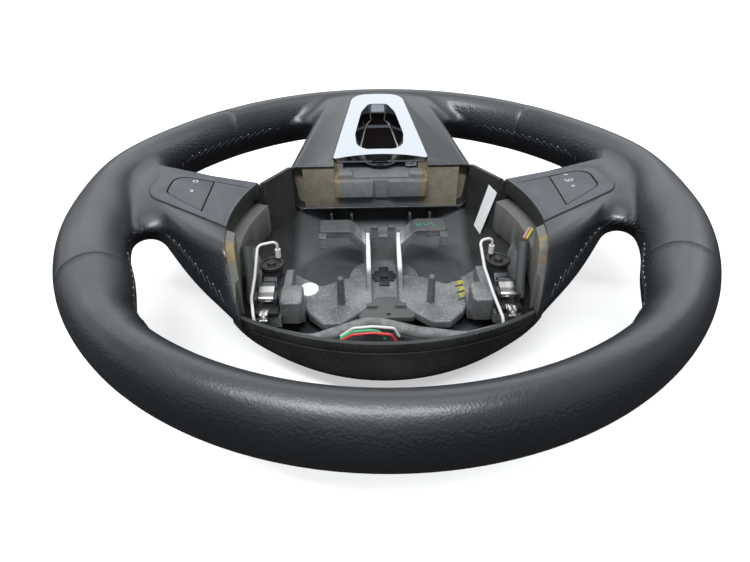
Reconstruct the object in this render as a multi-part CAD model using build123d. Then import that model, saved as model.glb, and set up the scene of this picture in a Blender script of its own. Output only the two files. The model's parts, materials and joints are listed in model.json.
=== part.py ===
from build123d import *
import os
from math import atan, cos, degrees, hypot, radians, sin

os.makedirs("parts", exist_ok=True)

# Car steering wheel with its airbag taken out, millimetres.
# Origin on the steering axis at the rear mouth of the column bore, +Z to the driver,
# +Y to 12 o'clock, +X to the driver's right. Levels are given from the rim's mid-plane.
RIM_DIAMETER = 370.0
RIM_WIDTH = 25.6
RIM_DEPTH = 37.6
RIM_PLANE = 76.0
THUMB_BULGE = 11.5
RIM_SWELL = 2.2
LEATHER = 1.3
SEAM_UPPER = 27.0
SEAM_LOWER = -47.6

RIM_R = (RIM_DIAMETER - RIM_WIDTH) / 2
RIM_OUTER = RIM_DIAMETER / 2
GRIP_START = -52.0
GRIP_END = 48.0
THROAT = 11.0
BOTTOM_THROAT = 16.0

# Side spokes: sizes where they leave the hub and at their neck before the rim
SPOKE_HUB = 88.0
SPOKE_NECK = RIM_R - 26.0
SPOKE_ROOT = SPOKE_HUB - 18.0
PANEL_INNER = RIM_R - 34.0
SPOKE_TOP_HUB = 2.4
SPOKE_TOP_NECK = 9.5
SPOKE_UNDER_HUB = -34.0
SPOKE_UNDER_NECK = -17.0

# Bottom spoke, measured outwards from the axis
BOTTOM_HUB = 70.0
BOTTOM_NECK = RIM_R - 40.0
BOTTOM_HALF_HUB = 65.0
BOTTOM_HALF_NECK = 51.0
BOTTOM_TOP = 1.0
BOTTOM_RISE = 0.165
BOTTOM_UNDER = -33.0
BOTTOM_UNDER_RISE = 0.2

# Airbag bay between the spokes
BAY_HALF = 91.0
BAY_FAR = 62.5
FOAM_FAR = BAY_FAR + 1.0
FOAM_LIP = 5.0
FOAM_END_HALF = 55.5

# Stepped foam block under the bright insert
BLOCK_FRONT = 58.0
BLOCK_HALF = 33.0
BLOCK_TOP = -11.0
BLOCK_LOW = -24.5
LEDGE_BACK = 88.0
LEDGE_TOP = -3.5

# Switch group on each side spoke
BEZEL_PROUD = 0.8
BEZEL_DEPTH = 9.0
BEZEL_WALL = 2.0
SWITCH_POCKET = 15.0
TRIM_GAP = 0.4
KEY_GAP = 0.7
KEY_AXIS_DEPTH = 6.5
KEY_PIN_R = 1.5
RUNNING_GAP = 0.06

# Bright insert of the bottom spoke
CHROME_THICK = 3.0
CHROME_PROUD = 0.8
CHROME_NEAR = 70.0
CHROME_FAR = RIM_R - 10.0
CHROME_HALF_NEAR = 34.0
CHROME_HALF_FAR = 20.0
CHROME_CROWN = 3.8
CHROME_POCKET = 9.5
CHROME_WALL = 1.5

# Armature casting
RING_WIDTH = 13.0
RING_DEPTH = 15.0
PLATE_TOP = -48.0
PLATE_THICK = 5.0
BOSS_R = 23.0
FLOOR_TOP = -52.0
RAIL_X = 10.2
RAIL_THICK = 3.6
PAD_TOP = -25.0
POST_R = 2.6
CAST_EDGE = 1.4
SEAT_TOP = -38.0
SEAT_OUT = 76.5

# Column bush
BUSH_R = 14.0
BUSH_LENGTH = RIM_PLANE + FLOOR_TOP - 3.5
BORE_R = 9.6
BORE_LENGTH = 10.0
SPLINE_TIP_R = 8.6
SPLINE_ROOT_R = 9.3
SPLINE_TEETH = 36

# Back cover bowl
COVER_WALL = 2.5
COVER_HALF = 87.0
COVER_CORNER = 64.0
COVER_NEAR = 91.5
COVER_CURVE = 9.0
COVER_RIM = -37.0
COVER_NEAR_RIM = -30.0
COVER_FLAP = 0.0
COVER_FLOOR = -66.0
COVER_REST = -80.0
NEAR_HALF = 81.5
COLLAR_R = 46.0
COVER_HOLE_R = BOSS_R + 3.0
SCREW_R = 2.0
SCREW_SPOTS = ((36, 34), (50, 15), (-36, 34), (-50, 15))

# Horn contacts and wiring
HORN_X = 69.5
HORN_CAP_Y = 20.0
HORN_PIN_Y = 50.0
HORN_PIN_R = 1.25
LEAF_THICK = 0.8
LEAF_WIDTH = 8.8
SLEEVE_R = 3.4
LEAD_R = 3.0
WIRE_R = 0.9
THIN_WIRE_R = 0.8


def at(level):
    """Height above the origin of a level given from the rim's mid-plane."""
    return RIM_PLANE + level


def smooth(t):
    """Soft step from 0 to 1."""
    t = min(max(t, 0.0), 1.0)
    return t * t * (3 - 2 * t)


def rounded(points, radii, inset=0.0):
    """Convex outline with its sides moved in by the inset and its corners rounded."""
    sides = []
    for start, end in zip(points, points[1:] + points[:1]):
        length = hypot(end[0] - start[0], end[1] - start[1])
        normal = ((start[1] - end[1]) / length, (end[0] - start[0]) / length)
        sides.append((normal[0], normal[1], normal[0] * start[0] + normal[1] * start[1] + inset))
    corners = []
    for (a, b, c), (d, e, f) in zip(sides[-1:] + sides[:-1], sides):
        det = a * e - b * d
        corners.append(((c * e - b * f) / det, (a * f - c * d) / det))
    return make_face(FilletPolyline(*corners, radius=[r - inset for r in radii], close=True))


def block(x0, x1, y0, y1, low, high):
    """Box between two levels."""
    size = Box(x1 - x0, y1 - y0, high - low, align=(Align.MIN, Align.MIN, Align.MIN))
    return Pos(x0, y0, at(low)) * size


def disc(x, y, radius, low, high):
    """Upright cylinder between two levels."""
    size = Cylinder(radius, high - low, align=(Align.CENTER, Align.CENTER, Align.MIN))
    return Pos(x, y, at(low)) * size


def slab(face, low, high):
    """Plan outline drawn out between two levels."""
    return extrude(Pos(0, 0, at(low)) * face, high - low)


def both(shape):
    """The shape and its mirror image on the other side of the wheel."""
    return shape + mirror(shape, Plane.YZ)


def tube(points, radii, radius):
    """Round cord or sleeve along straight runs joined by arcs."""
    path = FilletPolyline(*[(x, y, at(z)) for x, y, z in points], radius=radii)
    return sweep(Plane(origin=path @ 0, z_dir=path % 0) * Circle(radius), path)


# Leather-covered body: rim with thumb grips, two side spokes and the bottom spoke


def rim_section(angle, inset):
    """Oval of the grip in the radial plane at an angle; the thumb grip moves its inner side in."""
    grip = THUMB_BULGE * smooth((angle + 14) / 20) * smooth((48 - angle) / 22)
    depth = RIM_DEPTH / 2 + RIM_SWELL * smooth((angle + 37) / 28) * smooth((34 - angle) / 25)
    middle = RIM_OUTER - (RIM_WIDTH + grip) / 2
    c, s = cos(radians(angle)), sin(radians(angle))
    plane = Plane(origin=(middle * c, middle * s, RIM_PLANE), x_dir=(c, s, 0), z_dir=(-s, c, 0))
    return plane * Ellipse((RIM_WIDTH + grip) / 2 - inset, depth - inset)


def rim(inset):
    """Whole grip ring: plain top and bottom arcs and the two thumb-grip arcs."""
    top = revolve(rim_section(GRIP_END, inset), Axis.Z, 180 - 2 * GRIP_END)
    bottom = revolve(rim_section(180 - GRIP_START, inset), Axis.Z, 180 + 2 * GRIP_START)
    steps = 16
    angles = [GRIP_START + (GRIP_END - GRIP_START) * i / steps for i in range(steps + 1)]
    grip = loft([rim_section(a, inset) for a in angles])
    return top + bottom + both(grip)


def along_spoke(x, hub, neck):
    """Size of a side spoke at x from its sizes at the hub and at the neck."""
    return hub + (neck - hub) * (x - SPOKE_HUB) / (SPOKE_NECK - SPOKE_HUB)


def spoke_plane(x):
    """Plane across a side spoke."""
    return Plane(origin=(x, 0, 0), x_dir=(0, 1, 0), z_dir=(1, 0, 0))


def side_section(x, inset):
    """Section across a side spoke: flat top, long slope to 12 o'clock, flat underside."""
    lower = along_spoke(x, -36.0, -50.5)
    upper = max(along_spoke(x, 48.0, 4.0), 0.5)
    foot = max(along_spoke(x, 75.0, -2.0), upper - 6.0)
    top = at(along_spoke(x, SPOKE_TOP_HUB, SPOKE_TOP_NECK))
    under = at(along_spoke(x, SPOKE_UNDER_HUB, SPOKE_UNDER_NECK))
    outline = [(lower, under), (foot, under), (upper, top), (lower, top)]
    return spoke_plane(x) * rounded(outline, [6, 7, 12, 5], inset)


def side_spoke(inset):
    """Right spoke, from inside the bay into the rim."""
    stations = [SPOKE_ROOT, SPOKE_HUB + 12, SPOKE_NECK - 21, SPOKE_NECK, RIM_R - 6]
    return loft([side_section(x, inset) for x in stations])


def bottom_plane(y):
    """Plane across the bottom spoke at a distance from the axis."""
    return Plane(origin=(0, -y, 0), x_dir=(1, 0, 0), z_dir=(0, -1, 0))


def bottom_section(y, inset):
    """Section across the bottom spoke, narrowing towards the rim."""
    slope = (BOTTOM_HALF_NECK - BOTTOM_HALF_HUB) / (BOTTOM_NECK - BOTTOM_HUB)
    half = BOTTOM_HALF_HUB + slope * (y - BOTTOM_HUB)
    top = at(BOTTOM_TOP + BOTTOM_RISE * (y - BOTTOM_HUB))
    under = at(BOTTOM_UNDER + BOTTOM_UNDER_RISE * (y - BOTTOM_HUB))
    outline = [(4 - half, under), (half - 4, under), (half, top), (-half, top)]
    return bottom_plane(y) * rounded(outline, [7, 7, 7, 7], inset)


def bottom_spoke(inset):
    """Bottom spoke, from inside the bay into the rim."""
    return loft([bottom_section(y, inset) for y in (BAY_FAR - 3, RIM_R - 4)])


def joined(wheel, spoke, throat):
    """Spoke run into the rim with a rounded throat along the line where they meet."""
    whole = wheel + spoke
    return whole.fillet(throat, new_edges(wheel, spoke, combined=whole))


def body(inset):
    """Solid of rim and spokes at a depth under the leather's surface."""
    right = side_spoke(inset)
    wheel = joined(rim(inset), right, THROAT + inset)
    wheel = joined(wheel, mirror(right, Plane.YZ), THROAT + inset)
    return joined(wheel, bottom_spoke(inset), BOTTOM_THROAT + inset)


def bay(side, far):
    """Airbag bay, open to both faces; side brings its flanks in, far sets its 6 o'clock wall."""
    flank = ThreePointArc((80 - side, -36), (BAY_HALF - side, 6), (84 - side, 64))
    right = Polyline((70, -far), (80 - side, -36))
    near = Polyline((84 - side, 64), (60, 120), (-60, 120), (side - 84, 64))
    left = mirror(flank, Plane.YZ)
    end = Polyline((side - 80, -36), (-70, -far), (70, -far))
    return slab(make_face([flank, right, near, left, end]), -100, 60)


def sector(start, end):
    """Pie-shaped prism between two angles."""
    reach = RIM_DIAMETER
    turns = [start + (end - start) * i / 4 for i in range(5)]
    outline = [(0, 0)] + [(reach * cos(radians(a)), reach * sin(radians(a))) for a in turns]
    return slab(make_face(Polyline(*outline, close=True)), -100, 100)


def leather_panels(skin):
    """The four panels, parted by cross seams on the rim; each spoke goes with its own panel."""
    crown = sector(SEAM_UPPER, 180 - SEAM_UPPER) - disc(0, 0, PANEL_INNER, -100, 100)
    base = sector(180 - SEAM_LOWER, 360 + SEAM_LOWER)
    base += disc(0, 0, BOTTOM_NECK - 2, -100, 100) & sector(218, 322)
    sides = skin - crown - base
    right = sides & sector(-90, 90)
    return {"top": skin & crown, "bottom": skin & base, "right": right, "left": sides - sector(-90, 90)}


# Switch group: local frame on the sloping top of the right spoke, u outwards, v to 12 o'clock

SPOKE_SLOPE = atan((SPOKE_TOP_NECK - SPOKE_TOP_HUB) / (SPOKE_NECK - SPOKE_HUB))
SWITCH_X = 112.0
SWITCH_PLANE = Plane(
    origin=(SWITCH_X, 0, at(along_spoke(SWITCH_X, SPOKE_TOP_HUB, SPOKE_TOP_NECK))),
    x_dir=(cos(SPOKE_SLOPE), 0, sin(SPOKE_SLOPE)),
    z_dir=(-sin(SPOKE_SLOPE), 0, cos(SPOKE_SLOPE)),
)
KEY_SPLIT = -3.2
KEY_V = -15.0
POCKET_END = -24.0
POCKET_SIDE = -28.0


def local_slab(face, low, high):
    """Outline on the switch plane drawn out between two depths."""
    return extrude(SWITCH_PLANE * Pos(0, 0, low) * face, high - low)


def local_block(u0, u1, v0, v1, low, high):
    """Box in the switch group's frame."""
    return local_slab(Pos((u0 + u1) / 2, (v0 + v1) / 2) * Rectangle(u1 - u0, v1 - v0), low, high)


def local_pin(u0, u1, radius):
    """Round bar along the rocker's axis."""
    bar = Cylinder(radius, u1 - u0, rotation=(0, 90, 0), align=(Align.CENTER, Align.CENTER, Align.MIN))
    return SWITCH_PLANE * Pos(u0, KEY_V, -KEY_AXIS_DEPTH) * bar


def bezel_outline(inset):
    """Outer edge of the switch bezel, run past the hub end."""
    return rounded([(-45, -30.5), (30.5, -41), (32.5, -4), (-45, 38.5)], [2.5, 14, 14, 2.5], inset)


def window_outline(inset):
    """Opening of the bezel for the rocker and the blank plate, run past the hub end."""
    return rounded([(-45, -22), (22.5, -33.5), (22.5, -8.5), (-45, 41.5)], [2.5, 9, 9, 2.5], inset)


def hub_cut(gap):
    """Everything on the hub's side of the bay flank, for ends that follow the bay."""
    return bay(-gap, FOAM_FAR)


def bezel():
    """Hollow bezel: top plate with the window and a skirt all round, also along the bay."""
    outer = local_slab(bezel_outline(0), -BEZEL_DEPTH, BEZEL_PROUD) - hub_cut(0)
    inner = local_slab(bezel_outline(BEZEL_WALL), -BEZEL_DEPTH, -1.8) - hub_cut(BEZEL_WALL)
    window = local_slab(window_outline(0), -3, BEZEL_PROUD + 1) - hub_cut(BEZEL_WALL)
    return outer - inner - window


def hub_half(face, low, high):
    """Part of a switch outline on the hub's side of the split line."""
    return local_slab(face, low, high) & local_block(-60, KEY_SPLIT - KEY_GAP / 2, -80, 80, low, high)


def blank():
    """Blank plate beside the rocker, held by a flange under the bezel's top plate."""
    plate = hub_half(window_outline(0.2), -1.8, BEZEL_PROUD - 0.3) - hub_cut(BEZEL_WALL + 0.2)
    flange = hub_half(window_outline(-1.2), -3.2, -1.8) - hub_cut(BEZEL_WALL + 0.2)
    return plate + (flange & local_slab(bezel_outline(BEZEL_WALL + 0.2), -3.2, -1.8))


def rocker():
    """Rocker key with a web down to a hub and two pivot pins."""
    half = local_block(KEY_SPLIT + KEY_GAP / 2, 40, -80, 80, -1.4, BEZEL_PROUD - 0.2)
    cap = local_slab(window_outline(KEY_GAP), -1.4, BEZEL_PROUD - 0.2) & half
    web = local_block(0.5, 17, KEY_V - 1.5, KEY_V + 1.5, -KEY_AXIS_DEPTH, -1.4)
    hub = local_pin(0.5, 17, 2.6)
    pins = local_pin(-1.9, 19.4, KEY_PIN_R)
    return cap + web + hub + pins


def switch():
    """Switch base in the foam pocket with an ear for each pivot pin."""
    base = local_block(-2, 19.5, KEY_V - 11, KEY_V + 11, -SWITCH_POCKET, -11)
    ears = local_block(-2, 0, KEY_V - 5, KEY_V + 5, -11, -4)
    ears += local_block(17.5, 19.5, KEY_V - 5, KEY_V + 5, -11, -4)
    return base + ears - local_pin(-3, 21, KEY_PIN_R + RUNNING_GAP)


def switch_pocket():
    """Room in leather and foam for the bezel and switch base, open to the bay."""
    return local_slab(bezel_outline(-TRIM_GAP), -SWITCH_POCKET, 40)


def pocket_end():
    """Hub end of the switch pocket, where it runs out through the thin foam at the spoke's side."""
    return local_block(-60, POCKET_END, -60, POCKET_SIDE, -SWITCH_POCKET, 40)


# Bright insert on the sloping top of the bottom spoke, u to the driver's right, v to the hub

BOTTOM_ANGLE = atan(BOTTOM_RISE)
CHROME_PLANE = Plane(
    origin=(0, -BOTTOM_HUB, at(BOTTOM_TOP)),
    x_dir=(1, 0, 0),
    z_dir=(0, sin(BOTTOM_ANGLE), cos(BOTTOM_ANGLE)),
)
CHROME_RUN = (CHROME_FAR - CHROME_NEAR) / cos(BOTTOM_ANGLE)


def chrome_slab(face, low, high):
    """Outline on the insert's plane drawn out between two depths."""
    return extrude(CHROME_PLANE * Pos(0, 0, high) * face, low - high)


def chrome_outline(inset):
    """Trapezoid of the insert, wide at the hub."""
    wide, slim = CHROME_HALF_NEAR, CHROME_HALF_FAR
    outline = [(-slim, -CHROME_RUN), (slim, -CHROME_RUN), (wide, 0), (-wide, 0)]
    return rounded(outline, [10, 10, 2.5, 2.5], inset)


def chrome_crown():
    """Large barrel whose top crowns the insert, falling towards the rim."""
    radius = (CHROME_HALF_NEAR**2 + CHROME_CROWN**2) / (2 * CHROME_CROWN)
    fall = CHROME_CROWN * (1 - (CHROME_HALF_FAR / CHROME_HALF_NEAR) ** 2)
    barrel = Cylinder(radius, 3 * CHROME_RUN, rotation=(90, 0, 0))
    lean = Rot(degrees(atan(fall / CHROME_RUN)), 0, 0)
    return CHROME_PLANE * Pos(0, 0, CHROME_PROUD + CHROME_CROWN) * lean * Pos(0, 0, -radius) * barrel


def pocket_outline(inset):
    """Egg-shaped outline of the insert's polished pocket."""
    half = [(8.0, -77.0), (14.0, -64.0), (18.8, -30.0), (17.5, -14.0), (10.5, -6.6)]
    outline = half + [(-u, v) for u, v in reversed(half)]
    return rounded(outline, [5, 20, 25, 10, 8, 8, 10, 25, 20, 5], inset)


def pocket(inset, floor, depth):
    """Scoop narrowing from the pocket's outline to its floor."""
    mouth = CHROME_PLANE * Pos(0, 0, CHROME_PROUD + CHROME_CROWN + 1) * pocket_outline(inset)
    bottom = CHROME_PLANE * Pos(0, 0, -depth) * pocket_outline(floor)
    scoop = loft([bottom, mouth], ruled=True)
    ground = Plane(bottom.faces()[0])
    base = [e for e in scoop.edges() if abs(ground.to_local_coords(e.center()).Z) < 0.01]
    return fillet(base, CHROME_POCKET / 4)


def chrome_trim():
    """Bright insert: crowned plate with a scooped pocket and a tongue at the hub end."""
    plate = chrome_slab(chrome_outline(0), CHROME_PROUD - CHROME_THICK, 3 * CHROME_CROWN) & chrome_crown()
    bowl = pocket(-CHROME_WALL, 4.0 - CHROME_WALL, CHROME_POCKET + CHROME_WALL)
    bowl -= chrome_slab(Rectangle(300, 300), 0, 30)
    tongue = CHROME_PLANE * Pos(0, -7, CHROME_PROUD - CHROME_THICK - 2) * Ellipse(13, 9)
    stem = CHROME_PLANE * Pos(0, -9, CHROME_PROUD - CHROME_THICK - 2) * Rectangle(16, 6)
    return plate + bowl + extrude(tongue, 1.4) + extrude(stem, 2) - pocket(0, 4.0, CHROME_POCKET)


def chrome_room():
    """Recess in leather and foam for the insert and its pocket."""
    plate = chrome_slab(chrome_outline(-TRIM_GAP), CHROME_PROUD - CHROME_THICK, 40)
    bowl = chrome_slab(pocket_outline(-CHROME_WALL - TRIM_GAP), -CHROME_POCKET - 2 * CHROME_WALL, 0)
    return plate + bowl


def ledge_room():
    """Open room over the foam block's sloping ledge, in front of and under the insert's hub edge."""
    outline = [(-40, BLOCK_TOP), (-BLOCK_FRONT, BLOCK_TOP), (-LEDGE_BACK, LEDGE_TOP)]
    outline += [(-LEDGE_BACK, 14), (-40, 14)]
    face = make_face(Polyline(*[(y, at(z)) for y, z in outline], close=True))
    front = block(-BLOCK_HALF, BLOCK_HALF, -CHROME_NEAR - 1, -40, -40, 40)
    under = block(6 - BLOCK_HALF, BLOCK_HALF - 6, -LEDGE_BACK - 1, -CHROME_NEAR, -40, 40)
    return extrude(Plane.YZ * face, BLOCK_HALF, both=True) & (front + under)


def foam_front():
    """Front of the foam block, past the leather's edge, with rounded corners and a notch."""
    front = block(-BLOCK_HALF, BLOCK_HALF, -FOAM_FAR - 6, -BLOCK_FRONT, BLOCK_LOW, BLOCK_TOP)
    front = fillet(front.edges().filter_by(Axis.Z).group_by(Axis.Y)[-1], 2.5)
    front = chamfer(front.edges().group_by(Axis.Z)[0].filter_by(Axis.X).sort_by(Axis.Y)[-1], 2.0)
    notch = [(-5.6, BLOCK_TOP + 1), (-5.6, BLOCK_LOW + 4), (-8, BLOCK_LOW - 1)]
    notch += [(-x, z) for x, z in reversed(notch)]
    face = make_face(Polyline(*[(x, at(z)) for x, z in notch], close=True))
    front -= Pos(0, -BLOCK_FRONT, 0) * extrude(Plane.XZ * face, 3, both=True)
    knob = block(20, 31, -FOAM_FAR - 9, -FOAM_FAR, BLOCK_TOP - 2, BLOCK_TOP + 4.5)
    knob = fillet(knob.edges().group_by(Axis.Z)[-1], 2)
    return front, both(knob)


# Armature


def arm_section(x, y0, y1, low, high):
    """Rectangular section of a side arm."""
    return spoke_plane(x) * Pos((y0 + y1) / 2, at((low + high) / 2)) * Rectangle(y1 - y0, high - low)


def side_arm():
    """Right arm from the hub plate up through the spoke to the ring."""
    plate_low = PLATE_TOP - PLATE_THICK
    sections = [
        arm_section(54, 4, 32, plate_low, PLATE_TOP),
        arm_section(68, 4, 32, plate_low + 5, SEAT_TOP - 2),
        arm_section(SEAT_OUT + 2, 2, 27, plate_low + 7, SEAT_TOP - 0.5),
        arm_section(SPOKE_HUB - 1, -6, 26, -29, -20),
        arm_section(SWITCH_X + 8, -24, 10, -20.5, -13.5),
        arm_section(SPOKE_NECK + 2, -36, -8, -14, -7.5),
        arm_section(RIM_R, -38, -12, -6, 4),
    ]
    return loft(sections, ruled=True)


def hub_half_plate():
    """Right half of the crescent plate with its rounded near lobe."""
    outline = [(8, 2), (26, 6), (40, 14), (54, 4), (60, 4), (60, 32), (52, 30), (47, 42), (38, 52)]
    outline += [(27, 52), (15, 41), (8, 34)]
    face = make_face(FilletPolyline(*outline, radius=3.0, close=True))
    plate = slab(face, PLATE_TOP - PLATE_THICK, PLATE_TOP)
    return fillet(plate.edges().group_by(Axis.Z)[-1], CAST_EDGE)


def rail():
    """Right rail beside the column end, its rounded top falling towards 12 o'clock."""
    outline = [(-24, FLOOR_TOP - 4), (24, FLOOR_TOP - 4), (24, PLATE_TOP - 1), (-10, -36), (-24, -32)]
    face = make_face(Polyline(*[(y, at(z)) for y, z in outline], close=True))
    wall = Pos(RAIL_X, 0, 0) * extrude(Plane.YZ * face, RAIL_THICK / 2, both=True)
    return fillet([e for e in wall.edges() if e.center().Z > at(PLATE_TOP) and e.length > 10], CAST_EDGE)


def bracket():
    """Right bracket arm: gooseneck from the rail to a flat pad with a hook at its end."""
    line = [(43, PAD_TOP - 2.5), (22, PAD_TOP - 2.5), (12, -39), (RAIL_X, FLOOR_TOP - 2)]
    path = FilletPolyline(*[(x, at(z)) for x, z in line], radius=[5, 6])
    band = extrude(Plane.XZ * trace(path, 5), -16)
    band = Pos(0, -31 - band.bounding_box().min.Y, 0) * band
    band = fillet(band.edges().filter_by(Axis.Z).group_by(Axis.X)[-1], 3)
    band = fillet(band.edges().group_by(Axis.Z)[-1], CAST_EDGE)
    hook = block(37.5, 42.5, -17, -9.5, PAD_TOP - 4, PAD_TOP - CAST_EDGE)
    hook += block(37.5, 42.5, -12.5, -9.5, PAD_TOP - 11, PAD_TOP - CAST_EDGE)
    hook = fillet(hook.edges().filter_by(Axis.X).group_by(Axis.Y)[-1], CAST_EDGE)
    prong = block(3.2, 8.4, -24, -20, FLOOR_TOP - 4, PAD_TOP)
    prong = fillet(prong.edges().group_by(Axis.Z)[-1], CAST_EDGE)
    return band + hook + prong


def lug():
    """Right lug block and the flat seat of the horn contact."""
    seat = block(HORN_X - 8.5, SEAT_OUT, 11, 58, SEAT_TOP - 7, SEAT_TOP)
    top = block(49, HORN_X - 7.5, 37, 55, SEAT_TOP - 7, -30)
    top = fillet(top.edges().filter_by(Axis.Z), 3)
    top = fillet(top.edges().group_by(Axis.Z)[-1], CAST_EDGE)
    rib = block(HORN_X - 13, HORN_X - 7.5, 14, 40, SEAT_TOP - 6, SEAT_TOP + 5)
    rib = fillet(rib.edges().filter_by(Axis.X).group_by(Axis.Z)[-1], 4)
    rib = fillet(rib.edges().filter_by(Axis.Y).group_by(Axis.Z)[-1], CAST_EDGE)
    foot = block(49, 60, 30, 44, PLATE_TOP - PLATE_THICK, SEAT_TOP - 6)
    return seat + top + rib + foot


def post():
    """Right locating post, tapered and round-topped."""
    low, high = PLATE_TOP - 1, -28
    cone = Cone(POST_R, 0.8 * POST_R, high - low, align=(Align.CENTER, Align.CENTER, Align.MIN))
    cone = Pos(27.5, 33, at(low)) * cone
    return fillet(cone.edges().group_by(Axis.Z)[-1], CAST_EDGE)


def bottom_leg():
    """Right leg of the bottom spoke, from the ring to the block under the insert."""
    start = bottom_plane(RIM_R) * Pos(31, at(0)) * Rectangle(14, 10)
    end = bottom_plane(BOTTOM_HUB + 20) * Pos(31, at(-13)) * Rectangle(14, 9)
    return loft([start, end], ruled=True)


def plug_outline(inset):
    """Stepped cross of the locking piece over the column end."""
    arms = [(13.0, 11.0), (6.5, 21.0), (16.0, 5.0)]
    face = Rectangle(arms[0][0] - 2 * inset, arms[0][1] - 2 * inset)
    for width, length in arms[1:]:
        face += Rectangle(width - 2 * inset, length - 2 * inset)
    return face


def armature():
    """Light-metal casting: ring, arms, hub plate, rails, brackets, posts, lugs and boss."""
    ring_face = Plane.XZ * Pos(RIM_R, RIM_PLANE) * RectangleRounded(RING_WIDTH, RING_DEPTH, 3)
    ring = revolve(ring_face, Axis.Z)
    half = side_arm() + hub_half_plate() + rail() + bracket() + lug() + bottom_leg() + post()
    floor = block(-RAIL_X, RAIL_X, -24, 31, FLOOR_TOP - 4, FLOOR_TOP)
    floor += block(-8.4, 8.4, -24, -20, FLOOR_TOP - 4, -33)
    boss = disc(0, 0, BOSS_R, -RIM_PLANE, FLOOR_TOP - 1)
    cast = ring + both(half) + floor + boss
    cast -= disc(0, 0, BUSH_R, -RIM_PLANE, BUSH_LENGTH - RIM_PLANE)
    cast -= disc(0, 0, BORE_R, -RIM_PLANE, FLOOR_TOP - 3)
    cast -= slab(plug_outline(0), FLOOR_TOP - 3, FLOOR_TOP + 1)
    for x, y in SCREW_SPOTS:
        cast -= disc(x, y, SCREW_R + 0.1, PLATE_TOP - PLATE_THICK - 2, PLATE_TOP - 1.0)
    return cast


def splined_hub():
    """Steel bush with a plain lead-in and a splined bore."""
    bush = disc(0, 0, BUSH_R, -RIM_PLANE, BUSH_LENGTH - RIM_PLANE)
    bush -= disc(0, 0, BORE_R, -RIM_PLANE, BORE_LENGTH - RIM_PLANE)
    bush -= disc(0, 0, SPLINE_TIP_R, -RIM_PLANE, BUSH_LENGTH - RIM_PLANE)
    tooth = Pos(SPLINE_ROOT_R - 0.6, 0) * Rectangle(1.2, 0.75)
    teeth = Sketch() + [Rot(0, 0, 360 * i / SPLINE_TEETH) * tooth for i in range(SPLINE_TEETH)]
    return bush - slab(teeth, -RIM_PLANE, BUSH_LENGTH - RIM_PLANE)


def hub_plug():
    """Black locking piece in the stepped hole, with a square window."""
    plug = slab(plug_outline(0.15), FLOOR_TOP - 3, FLOOR_TOP + 1.2)
    return plug - block(-2.2, 2.2, 1, 6, FLOOR_TOP - 1, FLOOR_TOP + 2)


# Back cover


# Level of each ring of the bowl with its share of the outline's width and length
COVER_PROFILE = ((COVER_RIM, 1.0, 1.0), (-47.0, 0.925, 1.0), (-57.0, 0.80, 0.985), (COVER_FLOOR, 0.67, 0.73))


def cover_outline(inset, width=1.0, length=1.0):
    """Plan outline of the bowl: shallow near arc, bowed flanks and a narrow 6 o'clock end."""

    def spot(x, y, dx, dy):
        return (width * x + inset * dx, length * y + inset * dy)

    corner = spot(COVER_HALF, COVER_CORNER, -0.97, -0.54)
    hip = spot(COVER_HALF - 5, -36, -0.94, 0.39)
    half_end = [hip, spot(63, -65, -0.76, 0.66), spot(48, -78, -0.37, 1)]
    near = ThreePointArc((-corner[0], corner[1]), spot(0, COVER_NEAR, 0, -1), corner)
    flank = ThreePointArc(corner, spot(COVER_HALF + 3.5, 12, -1, 0), hip)
    end = Polyline(*half_end, *[(-x, y) for x, y in reversed(half_end)])
    face = make_face([near, flank, mirror(flank, Plane.YZ), end])
    return fillet(face.vertices(), COVER_CURVE - inset)


def bowl(inset):
    """Solid of the bowl from its floor to the top of the flaps, its walls moved in by the inset."""
    rings = []
    for level, width, length in COVER_PROFILE:
        lift = inset * (COVER_RIM - level) / (COVER_RIM - COVER_FLOOR)
        rings.append(Pos(0, 0, at(level) + lift) * cover_outline(inset, width, length))
    return slab(cover_outline(inset), COVER_RIM, COVER_FLAP) + loft(rings)


def parting_groove():
    """Fine groove along the near wall, just above the bowl's rim."""
    rise = COVER_NEAR - COVER_CORNER
    radius = (COVER_HALF**2 + rise**2) / (2 * rise)
    low, high = COVER_RIM + 0.4, COVER_RIM + 1.2
    middle = COVER_NEAR - radius
    ring = disc(0, middle, radius + 1, low, high) - disc(0, middle, radius - 0.6, low, high)
    return ring & block(5 - NEAR_HALF, NEAR_HALF - 5, COVER_CORNER, COVER_NEAR + 5, low, high)


def back_cover():
    """Rear bowl with two flaps, a low near wall, screw bosses, ribs and a collar to rest on."""
    shell = bowl(0) - bowl(COVER_WALL)
    flaps = both(block(62.5, 100, 1 - BAY_FAR, -37, COVER_RIM, COVER_FLAP + 1))
    near = block(-NEAR_HALF, NEAR_HALF, 58, 110, COVER_RIM, COVER_NEAR_RIM)
    high = block(-110, 110, -110, 110, COVER_RIM, COVER_FLAP + 2)
    shell -= high - flaps - near
    shell -= parting_groove()
    ribs = block(21, 22.6, -77, -62, COVER_FLOOR + 1, -40) + block(36, 37.6, -77, -64, COVER_FLOOR + 1, -40)
    shell += both(ribs) & bowl(1)
    for x, y in SCREW_SPOTS:
        shell += disc(x, y, 5.5, COVER_FLOOR, PLATE_TOP - PLATE_THICK)
    collar = disc(0, 0, COLLAR_R, COVER_REST, COVER_FLOOR + 0.5)
    shell += collar - disc(0, 0, COLLAR_R - COVER_WALL, COVER_REST, COVER_FLOOR + 0.5)
    shell -= disc(0, 0, COVER_HOLE_R, COVER_REST, COVER_FLOOR + 5)
    for x, y in SCREW_SPOTS:
        shell -= disc(x, y, SCREW_R + 0.3, COVER_FLOOR, PLATE_TOP)
        shell -= disc(x, y, 4.4, COVER_FLOOR - 1, COVER_FLOOR + 5)
    return shell


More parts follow.
